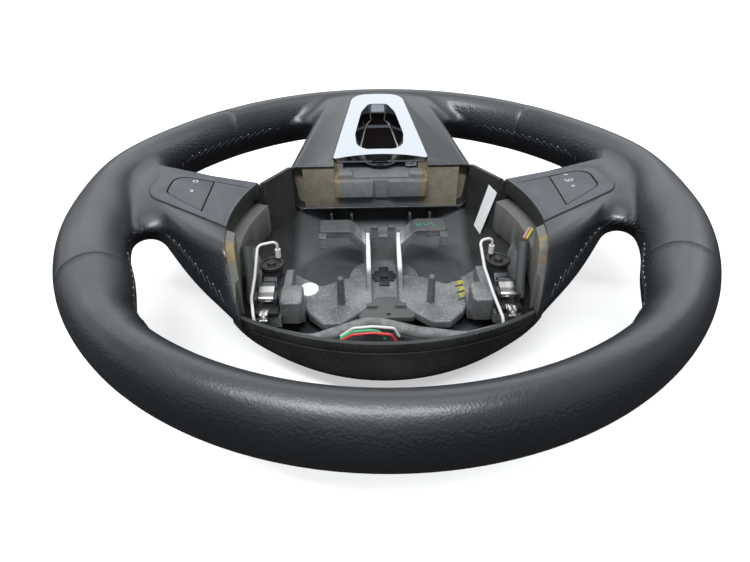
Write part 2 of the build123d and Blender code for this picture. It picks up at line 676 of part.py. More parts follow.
def cover_screws():
    """Four pan-head screws from the rear through the cover into the hub plate."""
    screws = Part()
    for x, y in SCREW_SPOTS:
        head = disc(x, y, 3.8, COVER_FLOOR + 2.6, COVER_FLOOR + 5)
        head -= disc(x, y, 1.4, COVER_FLOOR + 2, COVER_FLOOR + 4)
        screws += head + disc(x, y, SCREW_R, COVER_FLOOR + 5, PLATE_TOP - 1.5)
    return screws


# Horn contacts, right side


def cross_pin(radius, x0, x1):
    """Round bar along the leaf's hinge line."""
    bar = Cylinder(radius, x1 - x0, rotation=(0, 90, 0), align=(Align.CENTER, Align.CENTER, Align.MIN))
    return Pos(x0, HORN_PIN_Y, at(SEAT_TOP + 7.8)) * bar


def horn_holder():
    """Black carrier on the casting's seat: cap post, ramp, and ears with the leaf's pin."""
    half = LEAF_WIDTH / 2 + 0.5
    base = block(HORN_X - 7, SEAT_OUT, 13, 58, SEAT_TOP, SEAT_TOP + 3.5)
    post = disc(HORN_X, HORN_CAP_Y, 6.6, SEAT_TOP + 3.5, SEAT_TOP + 10)
    ramp = block(HORN_X - 4, HORN_X + 4, 27, 35, SEAT_TOP + 3.5, SEAT_TOP + 8)
    ramp = chamfer(ramp.edges().filter_by(Axis.X).group_by(Axis.Z)[-1].sort_by(Axis.Y)[-1], 4, 6)
    ears = block(HORN_X - half - 1.6, HORN_X - half, 46.5, 53.5, SEAT_TOP + 3.5, SEAT_TOP + 10)
    ears += block(HORN_X + half, HORN_X + half + 1.6, 46.5, 53.5, SEAT_TOP + 3.5, SEAT_TOP + 10)
    return base + post + ramp + ears + cross_pin(HORN_PIN_R, HORN_X - half - 1, HORN_X + half + 1)


def horn_cap():
    """Round contact cap with a raised ring and a stud on the post."""
    cap = disc(HORN_X, HORN_CAP_Y, 7.4, SEAT_TOP + 10, SEAT_TOP + 12.5)
    cap -= disc(HORN_X, HORN_CAP_Y, 5.6, SEAT_TOP + 11.3, SEAT_TOP + 13)
    return cap + disc(HORN_X, HORN_CAP_Y, 2.6, SEAT_TOP + 11.3, SEAT_TOP + 13.2)


def horn_leaf():
    """Sprung contact leaf curled round the carrier's pin."""
    left = HORN_X - LEAF_WIDTH / 2
    inner = HORN_PIN_R + RUNNING_GAP
    curl = cross_pin(inner + LEAF_THICK, left, left + LEAF_WIDTH)
    axis_z = SEAT_TOP + 7.8
    top = axis_z + inner + LEAF_THICK
    line = [(HORN_PIN_Y, top - LEAF_THICK / 2), (40, top + 1.6), (37.2, top + 0.6), (36.6, top - 1.4)]
    path = FilletPolyline(*[(y, at(z)) for y, z in line], radius=[4, 1])
    strip = Pos(left, 0, 0) * extrude(Plane.YZ * trace(path, LEAF_THICK), LEAF_WIDTH)
    return curl + strip - cross_pin(inner, left - 1, left + LEAF_WIDTH + 1)


def horn_terminal():
    """Crimp terminal lying on the carrier's near end."""
    blade = block(HORN_X - 2.2, HORN_X + 2.2, 54.5, 66, SEAT_TOP + 3.5, SEAT_TOP + 4.3)
    crimp = block(HORN_X - 2.2, HORN_X + 2.2, 60, 65, SEAT_TOP + 4.3, SEAT_TOP + 7.3)
    barrel = Cylinder(1.5, 20, rotation=(90, 0, 0))
    return blade + crimp - Pos(HORN_X, 62.5, at(SEAT_TOP + 5.9)) * barrel


def ferrule(x):
    """Crimped ferrule standing on the edge of a contact cap."""
    return disc(x, HORN_CAP_Y - 6.5, 1.7, SEAT_TOP + 12.5, SEAT_TOP + 18)


def horn_wire(side):
    """White lead from the cap's ferrule over its side and down to the loom."""
    x = HORN_X - 3.5
    y = HORN_CAP_Y - 6.5
    route = [(x, y, -20), (x, y, -14.5), (77.4, 16, -15.5), (77.8, 34, -26), (77.8, 50, -29.5)]
    route += [(75.5, 62, -33), (74, 65.5, -44)]
    if side < 0:
        route = [(x, y, -20), (x, y, -14.5), (58, 15, -15.5), (58.5, 32, -23.5), (60, 52, -27)]
        route += [(63, 70.5, -32), (63, 72, -44)]
    lead = ferrule(x) + tube(route, [3, 4, 8, 10, 4], WIRE_R)
    return lead if side > 0 else mirror(lead, Plane.YZ)


# Wiring loom


def sleeve_tube(radius):
    """Round bar along the sleeve's course."""
    route = [(66, 62, -46), (44, 70, -45.5), (10, 56.5, -43), (-16, 67, -43), (-44, 70, -45.5), (-66, 62, -46)]
    return tube(route, [18, 22, 18, 18], radius)


def harness_sleeve():
    """Grey sleeve along the near wall, over the guide."""
    return sleeve_tube(SLEEVE_R)


def switch_lead():
    """Sleeve from the right switch down beside the horn contact."""
    route = [(83.2, 20, -14), (80.6, 34, -32), (79.8, 41, -40.5)]
    return tube(route, [20], LEAD_R)


def switch_wire(place):
    """Thin wire from the left switch into its sleeve; each lies beside the one before it."""
    side = place * (2 * THIN_WIRE_R + 0.25)
    route = [(-88.5, 11, -9.6), (-85.5, 15.5, -11), (-83.4, 18.4, -12.4)]
    return tube([(x - 0.83 * side, y + 0.56 * side, z) for x, y, z in route], [3], THIN_WIRE_R)


def loose_wire(place, top, end):
    """Thin wire bowed up out of the loom; each lies beside the one before it."""
    y = 67.95 + place * (2 * THIN_WIRE_R + 0.25)
    route = [(27, y, -44.2), (20, y, top - 1), (9, y, top), (end + 3, y, top - 1.5), (end, y, -45)]
    return tube(route, [4, 10, 3], THIN_WIRE_R)


def cable_guide():
    """Smooth guide plate over the near end of the hub, with two tabs and a saddle for the sleeve."""
    outline = [(-18.5, 51.5), (-6, 31), (6, 31), (18.5, 51.5)]
    face = make_face(FilletPolyline(*outline, radius=2.5, close=True))
    plate = slab(face, PLATE_TOP, PLATE_TOP + 3)
    plate += both(block(5.5, 12, 39, 42, PLATE_TOP + 3, PLATE_TOP + 4.4))
    plate -= disc(-1, 48, 1.3, PLATE_TOP, PLATE_TOP + 4)
    saddle = block(4, 14, 50, 62, PLATE_TOP - 2, -43 - SLEEVE_R / 2)
    return plate + saddle - sleeve_tube(SLEEVE_R + RUNNING_GAP)


def trim_clip():
    """Small clear clip under the hub edge of the bright insert."""
    low = CHROME_PROUD - CHROME_THICK
    clip = CHROME_PLANE * Pos(-22, -2.5, low) * Rectangle(8, 4)
    slot = CHROME_PLANE * Pos(-22, -2.5, low - 2) * Rectangle(4, 6)
    return extrude(clip, -4) - extrude(slot, -1.4)


def write(name, shape):
    """Save one piece."""
    export_step(shape, f"parts/{name}.step")


casting = armature()
core = body(LEATHER)
skin = body(0) - core
rooms = both(switch_pocket()) + chrome_room() + ledge_room()
skin = skin - bay(0, BAY_FAR) - rooms
block_front, block_knobs = foam_front()
core = core - bay(FOAM_LIP, FOAM_FAR) - both(block(FOAM_END_HALF, 80, -FOAM_FAR - 6, -50, -60, 40))
core = core - both(block(60, NEAR_HALF + 1.5, 58, 100, -60, 40)) - both(pocket_end())
core = core + block_front - rooms + block_knobs - casting

write("armature", casting)
write("splined_hub", splined_hub())
write("hub_plug", hub_plug())
write("foam_core", core)
for place, panel in leather_panels(skin).items():
    write("leather_" + place, panel)
write("back_cover", back_cover())
write("cover_screws", cover_screws())
write("chrome_trim", chrome_trim())
write("trim_clip", trim_clip())
write("cable_guide", cable_guide())
write("harness_sleeve", harness_sleeve())
write("horn_wire_right", horn_wire(1))
write("horn_wire_left", horn_wire(-1))
write("pink_wire", switch_wire(0))
write("yellow_wire", switch_wire(1))
write("white_wire", loose_wire(0, -37.5, -6))
write("green_wire", loose_wire(1, -38.5, 2))
write("red_wire", loose_wire(2, -39.0, -4))
pieces = {
    "bezel": bezel(),
    "blank": blank(),
    "rocker": rocker(),
    "switch": switch(),
    "horn_holder": horn_holder(),
    "horn_cap": horn_cap(),
    "horn_leaf": horn_leaf(),
    "horn_terminal": horn_terminal(),
    "switch_lead": switch_lead(),
}
for name, piece in pieces.items():
    write(name + "_right", piece)
    write(name + "_left", mirror(piece, Plane.YZ))
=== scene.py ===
import json
import math

import bmesh
import bpy
from mathutils import Matrix, Vector
from mathutils.bvhtree import BVHTree

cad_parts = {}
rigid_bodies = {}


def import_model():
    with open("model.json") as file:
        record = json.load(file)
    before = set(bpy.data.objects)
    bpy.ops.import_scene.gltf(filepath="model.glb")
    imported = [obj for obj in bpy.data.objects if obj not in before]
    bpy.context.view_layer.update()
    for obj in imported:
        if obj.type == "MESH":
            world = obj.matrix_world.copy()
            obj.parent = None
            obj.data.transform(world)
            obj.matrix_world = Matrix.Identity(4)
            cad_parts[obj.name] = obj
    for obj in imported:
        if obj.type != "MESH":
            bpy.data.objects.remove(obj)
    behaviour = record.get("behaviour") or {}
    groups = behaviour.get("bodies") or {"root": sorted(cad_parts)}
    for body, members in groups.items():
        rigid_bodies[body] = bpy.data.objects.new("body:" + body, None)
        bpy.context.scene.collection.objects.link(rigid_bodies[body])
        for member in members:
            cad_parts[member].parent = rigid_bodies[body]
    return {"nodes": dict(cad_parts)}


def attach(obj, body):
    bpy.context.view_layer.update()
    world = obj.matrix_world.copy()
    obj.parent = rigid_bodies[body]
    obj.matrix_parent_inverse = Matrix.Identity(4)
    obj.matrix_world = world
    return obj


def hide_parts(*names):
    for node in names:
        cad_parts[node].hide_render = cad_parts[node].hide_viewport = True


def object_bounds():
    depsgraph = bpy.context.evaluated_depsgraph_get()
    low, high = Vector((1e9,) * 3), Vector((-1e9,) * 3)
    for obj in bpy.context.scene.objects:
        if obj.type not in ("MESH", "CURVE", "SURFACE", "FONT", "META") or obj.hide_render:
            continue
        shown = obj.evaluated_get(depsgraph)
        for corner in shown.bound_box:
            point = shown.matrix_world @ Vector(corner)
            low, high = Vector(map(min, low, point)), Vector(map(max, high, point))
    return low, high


for leftover in list(bpy.data.objects):
    bpy.data.objects.remove(leftover)
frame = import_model()
bpy.context.view_layer.update()
cad_low, cad_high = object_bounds()

# Armature: one pressure die casting in light metal that carries every other piece.
# Its skin is dull grey with bright grains and darker flow marks. The raised pads are darker
# and the upward faces of the two rails' tops are lighter.
scene = bpy.context.scene
nodes = frame["nodes"]
mm = 0.001
merge_gap = 0.002 * mm
flat_angle = math.radians(0.6)
sharp_angle = math.radians(32)
casting_edge = 0.6 * mm
dark_pads = 47 * mm, 50 * mm
rail_sides = (5 * mm, 7 * mm), (12 * mm, 15 * mm)
rail_tops = (33 * mm, 35 * mm), (46 * mm, 48 * mm)
flow_marks = [(0.3, (0.09, 0.093, 0.095)), (0.5, (0.155, 0.158, 0.16)), (0.7, (0.22, 0.22, 0.215))]
bright_grain = (0.42, 0.42, 0.42)
dark_skin = (0.035, 0.036, 0.037)
bright_top_metal = (0.7, 0.7, 0.69)


def new_material(name, colour, roughness, metallic=0.0):
    """Material whose even values are set on its shader."""
    made = bpy.data.materials.new(name)
    made.use_nodes = True
    shader = made.node_tree.nodes["Principled BSDF"]
    shader.inputs["Base Color"].default_value = (*colour, 1)
    shader.inputs["Roughness"].default_value = roughness
    shader.inputs["Metallic"].default_value = metallic
    return made, made.node_tree, shader


def noise(tree, scale, detail=3.0, stretch=(1, 1, 1)):
    """Drifting value on the piece's own coordinates, cells of about 1/scale metres."""
    place = tree.nodes.new("ShaderNodeTexCoord")
    turn = tree.nodes.new("ShaderNodeMapping")
    turn.inputs["Scale"].default_value = stretch
    cloud = tree.nodes.new("ShaderNodeTexNoise")
    cloud.inputs["Scale"].default_value = scale
    cloud.inputs["Detail"].default_value = detail
    tree.links.new(place.outputs["Object"], turn.inputs["Vector"])
    tree.links.new(turn.outputs["Vector"], cloud.inputs["Vector"])
    return cloud.outputs["Fac"]


def ramp(tree, value, stops):
    """Colour read from a value through a few stops."""
    made = tree.nodes.new("ShaderNodeValToRGB")
    while len(made.color_ramp.elements) < len(stops):
        made.color_ramp.elements.new(0.5)
    for element, (place, colour) in zip(made.color_ramp.elements, stops):
        element.position = place
        element.color = (*colour, 1)
    tree.links.new(value, made.inputs["Fac"])
    return made.outputs["Color"]


def span(tree, value, low, high, start=0.3, end=0.7):
    """Value carried from one range to another."""
    made = tree.nodes.new("ShaderNodeMapRange")
    made.inputs["From Min"].default_value = start
    made.inputs["From Max"].default_value = end
    made.inputs["To Min"].default_value = low
    made.inputs["To Max"].default_value = high
    tree.links.new(value, made.inputs["Value"])
    return made.outputs["Result"]


def math_node(tree, operation, first, second=0):
    """Sum, product or other simple result of a value with a value or a number."""
    made = tree.nodes.new("ShaderNodeMath")
    made.operation = operation
    for socket, value in zip(made.inputs, (first, second)):
        if isinstance(value, (int, float)):
            socket.default_value = value
        else:
            tree.links.new(value, socket)
    return made.outputs["Value"]


def band(tree, value, rise, fall):
    """Share that fades in over one range of a value and out again over another."""
    return math_node(tree, "MULTIPLY", span(tree, value, 0, 1, *rise), span(tree, value, 1, 0, *fall))


def mix(tree, share, first, second):
    """Two colours blended by a value from 0 to 1."""
    made = tree.nodes.new("ShaderNodeMix")
    made.data_type = "RGBA"
    tree.links.new(share, made.inputs[0])
    for socket, colour in zip(made.inputs[6:8], (first, second)):
        if isinstance(colour, tuple):
            socket.default_value = (*colour, 1)
        else:
            tree.links.new(colour, socket)
    return made.outputs[2]


def coordinate(tree, axis):
    """One of the piece's own coordinates, in metres."""
    place = tree.nodes.new("ShaderNodeTexCoord")
    split = tree.nodes.new("ShaderNodeSeparateXYZ")
    tree.links.new(place.outputs["Object"], split.inputs["Vector"])
    return split.outputs[axis]


def sideways(tree):
    """Distance from the wheel's middle plane."""
    return math_node(tree, "ABSOLUTE", coordinate(tree, "X"))


def facing(tree, axis):
    """One part of the direction that the surface faces."""
    place = tree.nodes.new("ShaderNodeNewGeometry")
    split = tree.nodes.new("ShaderNodeSeparateXYZ")
    tree.links.new(place.outputs["Normal"], split.inputs["Vector"])
    return split.outputs[axis]


def coloured(tree, shader, colour):
    """Give the finish a colour that varies over the surface."""
    tree.links.new(colour, shader.inputs["Base Color"])


def uneven(tree, shader, scale, low, high, detail=3.0):
    """Let the roughness drift between two values in patches of about 1/scale metres."""
    tree.links.new(span(tree, noise(tree, scale, detail), low, high), shader.inputs["Roughness"])


def bump(tree, shader, height, depth):
    """Fine relief of the skin, laid over any relief already there."""
    made = tree.nodes.new("ShaderNodeBump")
    made.inputs["Distance"].default_value = depth
    tree.links.new(height, made.inputs["Height"])
    for link in list(shader.inputs["Normal"].links):
        tree.links.new(link.from_socket, made.inputs["Normal"])
    tree.links.new(made.outputs["Normal"], shader.inputs["Normal"])


def piece(name, bm):
    """Object that holds a finished bmesh."""
    mesh = bpy.data.meshes.new(name)
    bm.to_mesh(mesh)
    bm.free()
    made = bpy.data.objects.new(name, mesh)
    scene.collection.objects.link(made)
    return made


def worn_copy(node, name, edge):
    """Copy of a solid with its points merged and its sharp edges rounded over."""
    bm = bmesh.new()
    bm.from_mesh(nodes[node].data)
    bmesh.ops.remove_doubles(bm, verts=bm.verts, dist=merge_gap)
    bmesh.ops.dissolve_limit(bm, angle_limit=flat_angle, verts=bm.verts, edges=bm.edges)
    made = piece(name, bm)
    made.data.shade_smooth()
    rounding = made.modifiers.new("Rounded edges", "BEVEL")
    rounding.width = edge
    rounding.segments = 2
    rounding.limit_method = "ANGLE"
    rounding.angle_limit = sharp_angle
    rounding.harden_normals = True
    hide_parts(node)
    return made


def dress(made, body, finish):
    """Give a piece its finish and let it ride on its body."""
    made.data.materials.clear()
    made.data.materials.append(finish)
    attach(made, body)
    return made


cast_metal, tree, shader = new_material("cast_metal", (0.3, 0.3, 0.3), 0.5, 0.35)
skin = ramp(tree, noise(tree, 45, 4), flow_marks)
skin = mix(tree, span(tree, noise(tree, 800, 2), 0, 0.5, 0.58, 0.72), skin, bright_grain)
height = coordinate(tree, "Z")
skin = mix(tree, span(tree, height, 0, 0.8, *dark_pads), skin, dark_skin)
rails = math_node(tree, "MULTIPLY", band(tree, sideways(tree), *rail_sides), band(tree, height, *rail_tops))
bright_tops = math_node(tree, "MULTIPLY", rails, span(tree, facing(tree, "Z"), 0, 1, 0.5, 0.8))
coloured(tree, shader, mix(tree, bright_tops, skin, bright_top_metal))
uneven(tree, shader, 160, 0.38, 0.62)
bump(tree, shader, noise(tree, 900, 5), 0.35 * mm)
dress(worn_copy("armature", "cast_frame", casting_edge), "wheel", cast_metal)

# Paint marks and blank labels of the works: a green scribble on one pad, yellow dabs with black bars
# and a round white paper on the hub plate, all drawn or pressed on after casting.
rim_plane = 76 * mm
plate_top = rim_plane - 48 * mm
pad_top = rim_plane - 25 * mm
paint_film = 0.06 * mm
ink_film = 0.09 * mm
paper_film = 0.12 * mm
pen_corners, bar_corners, disc_corners = 12, 4, 32
scribble = [((-22.6, -22.2), (0.7, 3.2), 8), ((-25.2, -22.8), (0.7, 3.6), -38),
            ((-27.9, -22.6), (0.7, 3.4), 30), ((-30.7, -22.9), (0.7, 3.4), -34),
            ((-33.4, -22.4), (0.7, 3.0), 24)]
dabs = [((-48.6, y), (3.1, 2.9), 14) for y in (13.5, 20, 26.5)]
bars = [((-47.4, y), (3.9, 1.2), 24) for y in (10.4, 16.9, 23.4, 30.6)]
paper = [((48.4, 17.6), (6, 7), 0)]


def patchy(tree, shader, scale, detail, stops):
    """Give the finish a colour in drifting patches of about 1/scale metres."""
    coloured(tree, shader, ramp(tree, noise(tree, scale, detail), stops))


def flat_mark(name, strokes, level, corners, height):
    """Thin ovals or bars on a flat face: each has its spot and half sizes in mm, and its turn."""
    bm = bmesh.new()
    for (x, y), (wide, long), turn in strokes:
        place = Matrix.Translation((x * mm, y * mm, level)) @ Matrix.Rotation(math.radians(turn), 4, "Z")
        outline = Matrix.Diagonal((wide * mm, long * mm, 1, 1)) @ Matrix.Rotation(math.pi / corners, 4, "Z")
        bmesh.ops.create_circle(bm, cap_ends=True, segments=corners, radius=1, matrix=place @ outline)
    top = bmesh.ops.extrude_face_region(bm, geom=list(bm.faces))
    lifted = [item for item in top["geom"] if isinstance(item, bmesh.types.BMVert)]
    bmesh.ops.translate(bm, verts=lifted, vec=(0, 0, height))
    bmesh.ops.recalc_face_normals(bm, faces=bm.faces)
    return piece(name, bm)


green_paint, tree, shader = new_material("green_paint", (0.0, 0.14, 0.07), 0.5)
patchy(tree, shader, 350, 3, [(0.45, (0.0, 0.13, 0.065)), (0.68, (0.05, 0.17, 0.12))])
mark = flat_mark("green_scribble", scribble, pad_top, pen_corners, paint_film)
dress(mark, "wheel", green_paint)
yellow_paint, tree, shader = new_material("yellow_paint", (0.5, 0.4, 0.05), 0.5)
patchy(tree, shader, 500, 3, [(0.4, (0.2, 0.18, 0.025)), (0.55, (0.37, 0.33, 0.025))])
mark = flat_mark("yellow_dabs", dabs, plate_top, bar_corners, paint_film)
dress(mark, "wheel", yellow_paint)
black_ink, tree, shader = new_material("black_ink", (0.02, 0.02, 0.02), 0.5)
uneven(tree, shader, 400, 0.4, 0.6)
mark = flat_mark("black_bars", bars, plate_top, bar_corners, ink_film)
dress(mark, "wheel", black_ink)
white_paper, tree, shader = new_material("white_paper", (0.78, 0.78, 0.76), 0.6)
patchy(tree, shader, 160, 4, [(0.3, (0.55, 0.55, 0.53)), (0.6, (0.68, 0.68, 0.67))])
mark = flat_mark("round_paper", paper, plate_top, disc_corners, paper_film)
dress(mark, "wheel", white_paper)

# Column bush and cover screws: turned steel, pressed or driven in from the rear.
# Turning marks run round the axis.
turned_edge = 0.15 * mm
steel, tree, shader = new_material("turned_steel", (0.5, 0.51, 0.53), 0.35, 1.0)
turning_marks = noise(tree, 300, 3, (1, 1, 9))
tree.links.new(span(tree, turning_marks, 0.25, 0.5), shader.inputs["Roughness"])
for node in ("splined_hub", "cover_screws"):
    dress(worn_copy(node, node + "_turned", turned_edge), "wheel", steel)

# Small black mouldings: the locking piece over the column end and the switch bases.
# Unpainted glass-filled plastic with a faint mould grain, pushed into place.
moulded_edge = 0.25 * mm
black_plastic, tree, shader = new_material("black_plastic", (0.012, 0.012, 0.013), 0.42)
uneven(tree, shader, 120, 0.32, 0.55)
bump(tree, shader, noise(tree, 2500), 0.06 * mm)
for node in ("hub_plug", "switch_right", "switch_left"):
    dress(worn_copy(node, node + "_moulding", moulded_edge), "wheel", black_plastic)

# Foam core: polyurethane moulded round the ring and the spoke arms.
# Grey skin on the block at 6 o'clock, brown glue at its ends, bare beige foam beside it
# and streaks of glue at the ends of the side spokes.
foam_edge = 0.5 * mm
ragged_edge = 2.5 * mm
zone_reach = 100 * mm
streak_run = (36 * mm, 39 * mm), (51 * mm, 55 * mm)
streak_height = 66 * mm, 70 * mm
grey_skin = (0.15, 0.16, 0.165)
brown_glue = (0.22, 0.16, 0.085)
bare_foam = (0.23, 0.2, 0.145)
side_foam = (0.12, 0.122, 0.11)
glue_streak = (0.21, 0.15, 0.065)
foam_dirt = (0.085, 0.08, 0.07)
foam, tree, shader = new_material("moulded_foam", (0.2, 0.2, 0.19), 0.75)
ragged = span(tree, noise(tree, 130, 4), -ragged_edge, ragged_edge)
outwards = math_node(tree, "ADD", sideways(tree), ragged)
zones = ramp(tree, span(tree, outwards, 0, 1, 0, zone_reach),
             [(0.27, grey_skin), (0.305, brown_glue), (0.35, bare_foam), (0.6, bare_foam), (0.75, side_foam)])
upper_end = span(tree, coordinate(tree, "Z"), 0, 1, *streak_height)
streaks = math_node(tree, "MULTIPLY", band(tree, coordinate(tree, "Y"), *streak_run), upper_end)
streaks = math_node(tree, "MULTIPLY", streaks, span(tree, noise(tree, 170, 3), 0, 1, 0.4, 0.56))
zones = mix(tree, streaks, zones, glue_streak)
mottle = span(tree, noise(tree, 260, 5), 0.0, 0.45)
coloured(tree, shader, mix(tree, mottle, zones, foam_dirt))
bump(tree, shader, noise(tree, 1400, 4), 0.3 * mm)
dress(worn_copy("foam_core", "foam_body", foam_edge), "wheel", foam)

# Leather panels: four pieces of grained hide glued over the foam and sewn to each other.
# Satin charcoal with a blue cast, polished by the hands on the upper faces and grained on its sides;
# its downward faces are darkened with painted shade.
hide_edge = 0.9 * mm
faded_tones = [(0.35, (0.008, 0.0098, 0.0125)), (0.65, (0.011, 0.0128, 0.0155))]
painted_shade_tone = (0.002, 0.0025, 0.003)
leather, tree, shader = new_material("grained_leather", (0.01, 0.011, 0.013), 0.38)
shader.inputs["Specular IOR Level"].default_value = 0.85


def pores(tree, scale):
    """Round cells of a hide's grain, about 1/scale metres across."""
    place = tree.nodes.new("ShaderNodeTexCoord")
    cells = tree.nodes.new("ShaderNodeTexVoronoi")
    cells.inputs["Scale"].default_value = scale
    tree.links.new(place.outputs["Object"], cells.inputs["Vector"])
    return cells.outputs["Distance"]


# Painted shade: the colour darkens where the surface faces down.
painted_underside_shade = span(tree, facing(tree, "Z"), 1, 0, -0.6, 0)
coloured(tree, shader, mix(tree, painted_underside_shade, ramp(tree, noise(tree, 14, 4), faded_tones), painted_shade_tone))
uneven(tree, shader, 25, 0.32, 0.44, 4)
bump(tree, shader, pores(tree, 950), 0.05 * mm)
unworn = span(tree, facing(tree, "Z"), 1, 0, 0.3, 0.7)
bump(tree, shader, math_node(tree, "MULTIPLY", pores(tree, 620), unworn), 0.22 * mm)
bump(tree, shader, noise(tree, 420, 4), 0.025 * mm)
hides = []
for part in ("top", "bottom", "left", "right"):
    hides.append(dress(worn_copy("leather_" + part, "hide_" + part, hide_edge), "wheel", leather))

# Seams of the leather: black thread drawn tight in long slanting stitches along a crease.
# They close the hide along the rim's inner side and down each side spoke's slope.
stitch_pitch = 5.8 * mm
stitch_length = 8.4 * mm
stitch_lean = math.radians(24)
thread_radius = 0.5 * mm
thread_flatness = 0.8
end_length = 1.7 * mm
end_radius = 0.8 * thread_radius
end_lift = 0.1 * mm
slope_seam = [(87.5, 64.4, -23), (92, 59.7, -21), (100.7, 50.4, -16.7), (110, 40.3, -11.9),
              (119, 29.6, -7.7), (124.5, 23.5, -7.6), (129.3, 18.5, -6.8), (132.6, 17.5, -4),
              (136.4, 17.7, -2.6), (140.2, 19.2, -2.8), (143.4, 22.6, -2), (145, 28.1, -0.8),
              (143.6, 36.1, 0.6), (142.1, 41.1, -0.4)]
rim_seam_radius = 141 * mm
rim_seams = ("lower_rim", range(-70, -24, 3), 74 * mm), ("upper_rim", range(20, 91, 3), 79 * mm)
hide_mesh = bmesh.new()
for hide in hides:
    hide_mesh.from_mesh(hide.data)
hide_surface = BVHTree.FromBMesh(hide_mesh)
hide_mesh.free()


def evenly(points, pitch):
    """Spots at an even pitch along a bent line."""
    spots = [points[0]]
    walked = pitch
    for start, end in zip(points, points[1:]):
        run = (end - start).length
        while walked <= run:
            spots.append(start.lerp(end, walked / run))
            walked += pitch
        walked -= run
    return spots


def add_bead(bm, spot, run, normal, length, radius):
    """Small long bead of thread lying on the leather."""
    axes = Matrix((normal.cross(run), run, normal)).transposed().to_4x4()
    shape = Matrix.Diagonal((radius, length / 2, thread_flatness * radius, 1))
    place = Matrix.Translation(spot) @ axes @ shape
    bmesh.ops.create_uvsphere(bm, u_segments=8, v_segments=6, radius=1, matrix=place)


def sewn(name, line, forwards):
    """Slanting stitches with pale beads at their upper ends, a painted highlight of the puckered leather."""
    spots = [hide_surface.find_nearest(point)[:2] for point in evenly(line, stitch_pitch)]
    threads, ends = bmesh.new(), bmesh.new()
    for (before, _), (spot, normal), (after, _) in zip(spots, spots[1:], spots[2:]):
        along = (after - before).normalized() * forwards
        upwards = normal.cross(along).normalized()
        if upwards.z < 0:
            upwards = -upwards
        run = math.cos(stitch_lean) * along + math.sin(stitch_lean) * upwards
        add_bead(threads, spot, run, normal, stitch_length, thread_radius)
        tip = spot + 0.5 * stitch_length * run + end_lift * normal
        add_bead(ends, tip, run, normal, end_length, end_radius)
    dress(piece(name + "_stitches", threads), "wheel", thread).data.shade_smooth()
    dress(piece(name + "_stitch_ends", ends), "wheel", pucker_highlight_finish).data.shade_smooth()


thread, tree, shader = new_material("black_thread", (0.006, 0.006, 0.007), 0.6)
uneven(tree, shader, 2500, 0.45, 0.75, 2)
# Painted highlight: the pale beads at the stitches' upper ends stand for light caught by the puckered
# leather.
pucker_highlight_finish, tree, shader = new_material("pucker_highlight_beads", (0.16, 0.17, 0.185), 0.45)
patchy(tree, shader, 500, 2, [(0.35, (0.05, 0.055, 0.06)), (0.65, (0.26, 0.27, 0.29))])
for side, turn in (("right", 1), ("left", -1)):
    line = [Vector((turn * x * mm, y * mm, rim_plane + level * mm)) for x, y, level in slope_seam]
    sewn("slope_" + side, line, 1)
    for name, degrees, height in rim_seams:
        arc = [(math.cos(math.radians(a)), math.sin(math.radians(a))) for a in degrees]
        line = [Vector((turn * rim_seam_radius * c, rim_seam_radius * s, height)) for c, s in arc]
        sewn(f"{name}_{side}", line, -1)

# Back cover: black moulded bowl behind the hub, screwed to the hub plate.
# Fine spark grain outside and on the flaps, with some dust; smooth inside the funnel, whose upward faces
# are painted lighter grey as a painted sheen.
cover_edge = 0.5 * mm
funnel_brim = rim_plane - 40 * mm, rim_plane - 36 * mm
funnel_sides = 58 * mm, 64 * mm
funnel_step = 62 * mm, 65 * mm
funnel_floor_sheen = (0.055, 0.061, 0.066)
funnel_wall_sheen = (0.088, 0.095, 0.102)
grain_tones = [(0.35, (0.012, 0.013, 0.0125)), (0.65, (0.025, 0.026, 0.024))]
dust = (0.25, 0.25, 0.24)
cover_plastic, tree, shader = new_material("grained_cover", (0.018, 0.019, 0.019), 0.5)
aside = sideways(tree)
low_part = span(tree, coordinate(tree, "Z"), 1, 0, *funnel_brim)
funnel_inside = math_node(tree, "MULTIPLY", low_part, span(tree, aside, 1, 0, *funnel_sides))
# Painted sheen: the funnel's upward faces are coloured lighter grey, stepped between floor and wall.
painted_sheen_share = math_node(tree, "MULTIPLY", funnel_inside, span(tree, facing(tree, "Z"), 0, 1, 0.05, 0.3))
lengthways = math_node(tree, "ABSOLUTE", coordinate(tree, "Y"))
squares = [math_node(tree, "POWER", distance, 2) for distance in (aside, lengthways)]
reach = math_node(tree, "SQRT", math_node(tree, "ADD", *squares))
painted_funnel_sheen = mix(tree, span(tree, reach, 0, 1, *funnel_step), funnel_floor_sheen, funnel_wall_sheen)
dusty = span(tree, noise(tree, 1500, 0), 0, 0.4, 0.76, 0.82)
grained = mix(tree, dusty, ramp(tree, noise(tree, 40, 4), grain_tones), dust)
coloured(tree, shader, mix(tree, painted_sheen_share, grained, painted_funnel_sheen))
uneven(tree, shader, 50, 0.42, 0.6)
bump(tree, shader, noise(tree, 1600, 2), 0.15 * mm)
dress(worn_copy("back_cover", "cover_bowl", cover_edge), "wheel", cover_plastic)

# Blank paper label stuck to the driver's left flap, hanging down into the bowl.
# White paper, one strip that bridges the fold of the moulding.
label_corners = (-67.6, -49.4, 33.8), (-70.8, -41.1, 31), (-78.2, -37.2, 65.7), (-73.7, -44.1, 68.4)
label_thickness = 0.3 * mm
bright_paper, tree, shader = new_material("bright_paper", (0.9, 0.9, 0.9), 0.5)
uneven(tree, shader, 200, 0.4, 0.6)
bm = bmesh.new()
bm.faces.new([bm.verts.new(Vector(corner) * mm) for corner in label_corners])
label = dress(piece("flap_paper", bm), "wheel", bright_paper)
paper_body = label.modifiers.new("Paper", "SOLIDIFY")
paper_body.thickness = label_thickness
paper_body.offset = 1

